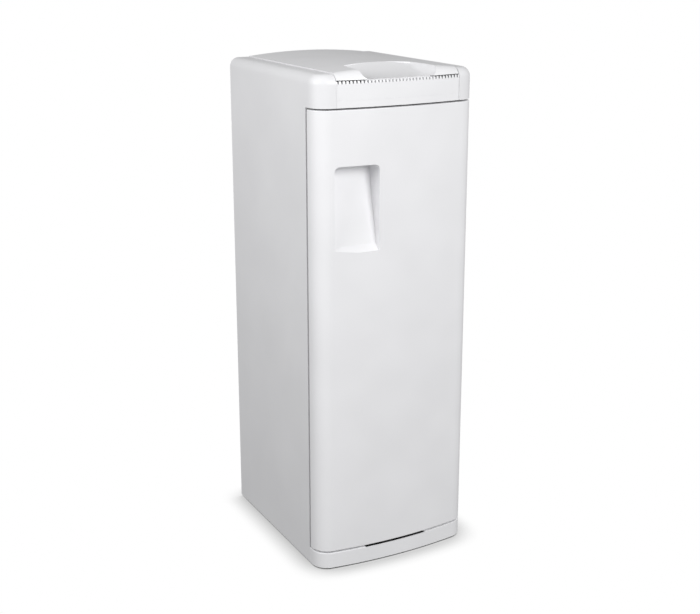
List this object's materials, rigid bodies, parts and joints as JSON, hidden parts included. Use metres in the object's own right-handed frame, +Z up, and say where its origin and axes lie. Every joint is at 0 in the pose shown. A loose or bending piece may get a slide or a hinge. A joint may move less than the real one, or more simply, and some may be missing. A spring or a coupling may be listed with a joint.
{
  "type": "trash compactor",
  "caption": "Slim free-standing kitchen waste compactor: full-height hinged door with a grip pocket, lifting lid with a finger scoop, screw-driven press over a lift-out bin.",
  "frame": {"origin": "on the floor under the middle of the cabinet's bounding box", "axes": "+Z up; -Y is the front with the door; +X is the hinge side, on the right when facing the door"},
  "size_m": [0.302, 0.359, 0.876],
  "materials": {
    "casing_white": "satin powder coat",
    "front_white": "semi-gloss moulded",
    "liner_white": "matt moulded",
    "rear_steel": "matt powder coat",
    "bare_steel": "zinc plated",
    "turned_steel": "turned bright",
    "press_face": "brushed",
    "seal_grey": "matt",
    "black_rubber": "matt",
    "bush_plastic": "self-lubricating nylon",
    "black_plastic": "matt moulded",
    "pulley_plastic": "glass-filled nylon",
    "start_green": "gloss",
    "stop_red": "gloss",
    "key_metal": "polished",
    "lens_clear": "clear",
    "filter_frame": "matt moulded",
    "board_green": "laminate",
    "gear_case": "die cast",
    "motor_can": "semi-gloss",
    "nut_bronze": "cast, machined",
    "bin_grey": "matt moulded polypropylene"
  },
  "bodies": {
    "cabinet": {"side_shell_left": "casing_white", "side_shell_right": "casing_white", "front_fascia": "front_white", "plinth": "front_white", "rear_panel": "rear_steel", "rear_panel_screws": "bare_steel", "base_pan": "bare_steel", "levelling_feet": "black_rubber", "front_frame": "rear_steel", "door_magnet": "black_plastic", "upper_hinge_bracket": "bare_steel", "lower_hinge_bracket": "bare_steel", "hinge_bracket_screws": "bare_steel", "door_hinge_pins": "turned_steel", "lid_hinge_pins": "turned_steel", "service_deck": "liner_white", "status_lenses": "lens_clear", "button_bezels": "black_plastic", "key_lock_barrel": "black_plastic", "filter_cassette": "filter_frame", "fan_housing": "black_plastic", "control_board": "board_green", "guide_rail_left": "bare_steel", "guide_rail_right": "bare_steel", "lower_beam": "bare_steel", "upper_beam": "bare_steel", "thrust_bearings": "turned_steel", "upper_bushes": "bush_plastic", "tension_spindle": "turned_steel", "drive_belt": "black_rubber", "reduction_gearbox": "gear_case", "drive_motor": "motor_can", "chamber_liner": "bare_steel", "chamber_floor": "bare_steel", "bin_runners": "bush_plastic", "waste_bin": "bin_grey", "power_inlet": "black_plastic"},
    "door": {"door_shell": "front_white", "door_inner_panel": "liner_white", "door_seal": "seal_grey", "door_bushes": "bush_plastic", "door_strike_plate": "turned_steel"},
    "lid": {"lid_shell": "front_white", "lid_inner_panel": "liner_white", "lid_seal": "seal_grey"},
    "press": {"press_plate": "press_face", "press_column": "bare_steel", "press_beam": "bare_steel", "press_nuts": "nut_bronze", "guide_shoes": "bush_plastic"},
    "screw_left": {"power_screw_left": "turned_steel", "screw_pulley_left": "pulley_plastic"},
    "screw_right": {"power_screw_right": "turned_steel", "screw_pulley_right": "pulley_plastic"},
    "motor_shaft": {"motor_pulley": "pulley_plastic"},
    "idler": {"tension_pulley": "pulley_plastic"},
    "fan": {"fan_impeller": "black_plastic"},
    "start": {"start_button": "start_green"},
    "stop": {"stop_button": "stop_red"},
    "key": {"key_lock_rotor": "key_metal"}
  },
  "joints": [
    {"name": "door_hinge", "type": "hinge", "parent": "cabinet", "child": "door", "pos_m": [0.141, -0.146, 0], "axis": [0, 0, 1], "range_deg": [0, 110]},
    {"name": "lid_hinge", "type": "hinge", "parent": "cabinet", "child": "lid", "pos_m": [0, 0.174, 0.8625], "axis": [-1, 0, 0], "range_deg": [0, 80]},
    {"name": "press_slide", "type": "slide", "parent": "cabinet", "child": "press", "axis": [0, 0, -1], "range_m": [0, 0.26]},
    {"name": "screw_left_turn", "type": "hinge", "parent": "cabinet", "child": "screw_left", "pos_m": [-0.133, 0, 0], "axis": [0, 0, 1], "range_deg": [0, 7820]},
    {"name": "screw_right_turn", "type": "hinge", "parent": "cabinet", "child": "screw_right", "pos_m": [0.133, 0, 0], "axis": [0, 0, 1], "range_deg": [0, 7820]},
    {"name": "motor_shaft_turn", "type": "hinge", "parent": "cabinet", "child": "motor_shaft", "pos_m": [0, 0.06, 0], "axis": [0, 0, 1], "range_deg": [0, 7820]},
    {"name": "idler_turn", "type": "hinge", "parent": "cabinet", "child": "idler", "pos_m": [0, -0.045, 0], "axis": [0, 0, 1], "range_deg": [0, 9400]},
    {"name": "fan_turn", "type": "hinge", "parent": "cabinet", "child": "fan", "pos_m": [0, -0.08, 0], "axis": [0, 0, 1], "continuous": true},
    {"name": "start_press", "type": "slide", "parent": "cabinet", "child": "start", "axis": [0, 0, -1], "range_m": [0, 0.003], "stiffness_N_per_m": 500, "springref_m": -0.0015},
    {"name": "stop_press", "type": "slide", "parent": "cabinet", "child": "stop", "axis": [0, 0, -1], "range_m": [0, 0.003], "stiffness_N_per_m": 500, "springref_m": -0.0015},
    {"name": "key_turn", "type": "hinge", "parent": "cabinet", "child": "key", "pos_m": [-0.055, 0.07, 0], "axis": [0, 0, 1], "range_deg": [0, 90]}
  ],
  "couplings": [
    {"joint": "screw_left_turn", "follows": "press_slide", "rad_per_m": 523.6},
    {"joint": "screw_right_turn", "follows": "press_slide", "rad_per_m": 523.6},
    {"joint": "motor_shaft_turn", "follows": "press_slide", "rad_per_m": 523.6},
    {"joint": "idler_turn", "follows": "press_slide", "rad_per_m": 628.32}
  ]
}
